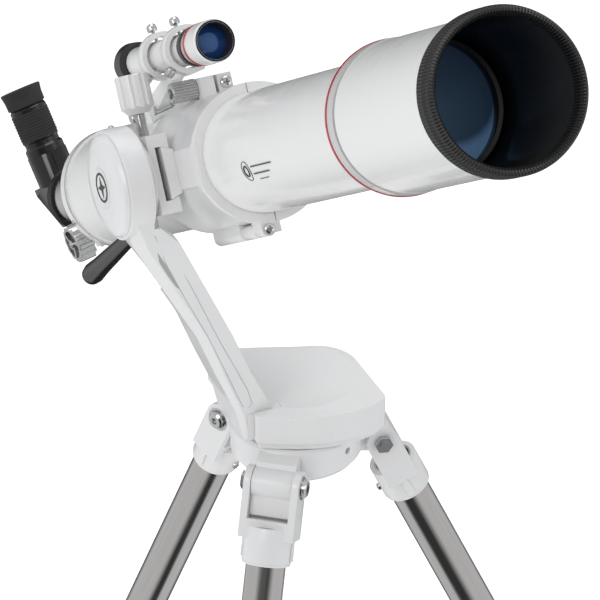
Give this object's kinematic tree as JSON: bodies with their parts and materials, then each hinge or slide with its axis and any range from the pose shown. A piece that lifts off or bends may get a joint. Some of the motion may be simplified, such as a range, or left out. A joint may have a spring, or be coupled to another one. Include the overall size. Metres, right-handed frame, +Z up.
{
  "type": "telescope on tripod",
  "caption": "Refracting telescope on a single-arm altazimuth mount with a folding steel tripod, finder, diagonal and eyepiece.",
  "frame": {"origin": "where the azimuth axis meets the floor plane of the three soles", "axes": "+Z up along the azimuth axis, -Y the way the tube points, +X to the right seen from behind the eyepiece"},
  "size_m": [0.7651, 1.0184, 1.5318],
  "materials": {
    "white_enamel": "gloss",
    "white_casting": "satin",
    "black_plastic": "satin",
    "black_anodised": "satin",
    "silver_metal": "satin",
    "stainless_tube": "brushed",
    "bright_steel": "polished",
    "red_trim": "satin",
    "coated_glass": "coated",
    "grip_rubber": "matt",
    "white_knob": "gloss"
  },
  "bodies": {
    "head": {"tripod_head": "white_casting", "azimuth_bearing": "black_plastic", "leg_pivot_fasteners": "bright_steel"},
    "turntable": {"base_plate": "white_casting", "azimuth_bolt": "bright_steel", "arm": "white_casting", "drum_cap": "white_enamel"},
    "altitude": {"altitude_shaft": "bright_steel", "altitude_hub": "white_casting", "saddle": "white_casting", "pan_handle": "black_plastic"},
    "saddle_screw": {"saddle_clamp_screw": "white_knob"},
    "cradle": {"dovetail_bar": "white_enamel", "ring_fixed": "white_casting", "ring_hinged": "white_casting", "ring_hinge_pin": "bright_steel", "ring_clamp_bolt": "bright_steel"},
    "ring_knob": {"ring_clamp_knob": "silver_metal"},
    "optical_tube": {"main_tube": "white_enamel", "rear_cell": "white_enamel", "red_ring": "red_trim", "dew_shield": "white_enamel", "lens_cell": "black_anodised", "objective": "coated_glass", "front_rim": "black_plastic", "focuser_body": "white_enamel", "finder_shoe": "black_anodised"},
    "draw": {"drawtube": "bright_steel", "draw_adapter": "black_anodised"},
    "focus_drive": {"pinion": "bright_steel", "focus_knobs": "silver_metal"},
    "adapter_thumbscrew": {"adapter_screw": "silver_metal"},
    "diagonal": {"diagonal_body": "black_plastic", "diagonal_nose": "silver_metal"},
    "eyepiece": {"eyepiece_body": "black_anodised", "eyepiece_cup": "grip_rubber"},
    "finder": {"finder_tube": "white_enamel", "finder_eyepiece": "black_plastic", "finder_bracket": "white_casting", "finder_screws": "silver_metal"},
    "finder_front": {"finder_cell": "white_enamel", "finder_lens": "coated_glass"},
    "leg_1": {"leg_1_socket": "white_casting", "leg_1_upper_tube": "stainless_tube", "leg_1_clamp": "white_casting"},
    "leg_1_extension": {"leg_1_lower_tube": "stainless_tube", "leg_1_foot": "grip_rubber"},
    "leg_1_screw": {"leg_1_clamp_screw": "black_plastic"},
    "leg_2": {"leg_2_socket": "white_casting", "leg_2_upper_tube": "stainless_tube", "leg_2_clamp": "white_casting"},
    "leg_2_extension": {"leg_2_lower_tube": "stainless_tube", "leg_2_foot": "grip_rubber"},
    "leg_2_screw": {"leg_2_clamp_screw": "black_plastic"},
    "leg_3": {"leg_3_socket": "white_casting", "leg_3_upper_tube": "stainless_tube", "leg_3_clamp": "white_casting"},
    "leg_3_extension": {"leg_3_lower_tube": "stainless_tube", "leg_3_foot": "grip_rubber"},
    "leg_3_screw": {"leg_3_clamp_screw": "black_plastic"}
  },
  "joints": [
    {"name": "azimuth_turn", "type": "hinge", "parent": "head", "child": "turntable", "pos_m": [0, 0, 0.83], "axis": [0, 0, 1], "continuous": true},
    {"name": "altitude_tilt", "type": "hinge", "parent": "turntable", "child": "altitude", "pos_m": [-0.062, 0, 1.122], "axis": [1, 0, 0], "range_deg": [-10, 44]},
    {"name": "saddle_screw_turn", "type": "hinge", "parent": "altitude", "child": "saddle_screw", "pos_m": [-0.124, 0.01002, 1.11539], "axis": [0, 0.5505, 0.8348], "range_deg": [-180, 180]},
    {"name": "dovetail_slide", "type": "slide", "parent": "altitude", "child": "cradle", "axis": [0, -0.8348, 0.5505], "range_m": [-0.02, 0.02]},
    {"name": "ring_knob_turn", "type": "hinge", "parent": "cradle", "child": "ring_knob", "pos_m": [-0.054, 0.03301, 1.1757], "axis": [-1, 0, 0], "range_deg": [-180, 180]},
    {"name": "tube_roll", "type": "hinge", "parent": "cradle", "child": "optical_tube", "pos_m": [-0.062, 0, 1.122], "axis": [0, -0.8348, 0.5505], "range_deg": [-30, 3]},
    {"name": "focus_turn", "type": "hinge", "parent": "optical_tube", "child": "focus_drive", "pos_m": [-0.05597, 0.25676, 0.91555], "axis": [-0.9816, -0.105, -0.1593], "range_deg": [-410, 340]},
    {"name": "focus_slide", "type": "slide", "parent": "optical_tube", "child": "draw", "axis": [0, 0.8348, -0.5505], "range_m": [-0.0357, 0.0296]},
    {"name": "adapter_screw_turn", "type": "hinge", "parent": "draw", "child": "adapter_thumbscrew", "pos_m": [-0.062, 0.34062, 0.8974], "axis": [0.1908, -0.5404, -0.8195], "range_deg": [-180, 180]},
    {"name": "diagonal_turn", "type": "hinge", "parent": "draw", "child": "diagonal", "pos_m": [-0.062, 0.34062, 0.8974], "axis": [0, 0.8348, -0.5505], "range_deg": [-90, 90]},
    {"name": "eyepiece_slide", "type": "slide", "parent": "diagonal", "child": "eyepiece", "axis": [-0.1908, 0.5404, 0.8195], "range_m": [0, 0.02]},
    {"name": "finder_slide", "type": "slide", "parent": "optical_tube", "child": "finder", "axis": [0, -0.8348, 0.5505], "range_m": [-0.01, 0.004]},
    {"name": "finder_focus", "type": "hinge", "parent": "finder", "child": "finder_front", "pos_m": [-0.0807, 0.00286, 1.23534], "axis": [0, -0.8348, 0.5505], "range_deg": [-180, 180]},
    {"name": "leg_1_fold", "type": "hinge", "parent": "head", "child": "leg_1", "pos_m": [-0.04351, -0.05509, 0.83], "axis": [0.7848, -0.6198, 0], "range_deg": [0, 24.5]},
    {"name": "leg_1_slide", "type": "slide", "parent": "leg_1", "child": "leg_1_extension", "axis": [-0.258, -0.3267, -0.9092], "range_m": [-0.2, 0.1]},
    {"name": "leg_1_screw_turn", "type": "hinge", "parent": "leg_1", "child": "leg_1_screw", "pos_m": [-0.16451, -0.20831, 0.40357], "axis": [-0.5635, -0.7135, 0.4163], "range_deg": [-180, 180]},
    {"name": "leg_2_fold", "type": "hinge", "parent": "head", "child": "leg_2", "pos_m": [0.06946, -0.01013, 0.83], "axis": [0.1444, 0.9895, 0], "range_deg": [0, 24.5]},
    {"name": "leg_2_slide", "type": "slide", "parent": "leg_2", "child": "leg_2_extension", "axis": [0.4119, -0.0601, -0.9092], "range_m": [-0.2, 0.1]},
    {"name": "leg_2_screw_turn", "type": "hinge", "parent": "leg_2", "child": "leg_2_screw", "pos_m": [0.26266, -0.03832, 0.40357], "axis": [0.8997, -0.1313, 0.4163], "range_deg": [-180, 180]},
    {"name": "leg_3_fold", "type": "hinge", "parent": "head", "child": "leg_3", "pos_m": [-0.02596, 0.06523, 0.83], "axis": [-0.9291, -0.3697, 0], "range_deg": [0, 24.5]},
    {"name": "leg_3_slide", "type": "slide", "parent": "leg_3", "child": "leg_3_extension", "axis": [-0.1539, 0.3868, -0.9092], "range_m": [-0.2, 0.1]},
    {"name": "leg_3_screw_turn", "type": "hinge", "parent": "leg_3", "child": "leg_3_screw", "pos_m": [-0.09814, 0.24663, 0.40357], "axis": [-0.3362, 0.8448, 0.4163], "range_deg": [-180, 180]}
  ],
  "couplings": [
    {"joint": "focus_turn", "follows": "focus_slide", "rad_per_m": 200}
  ]
}
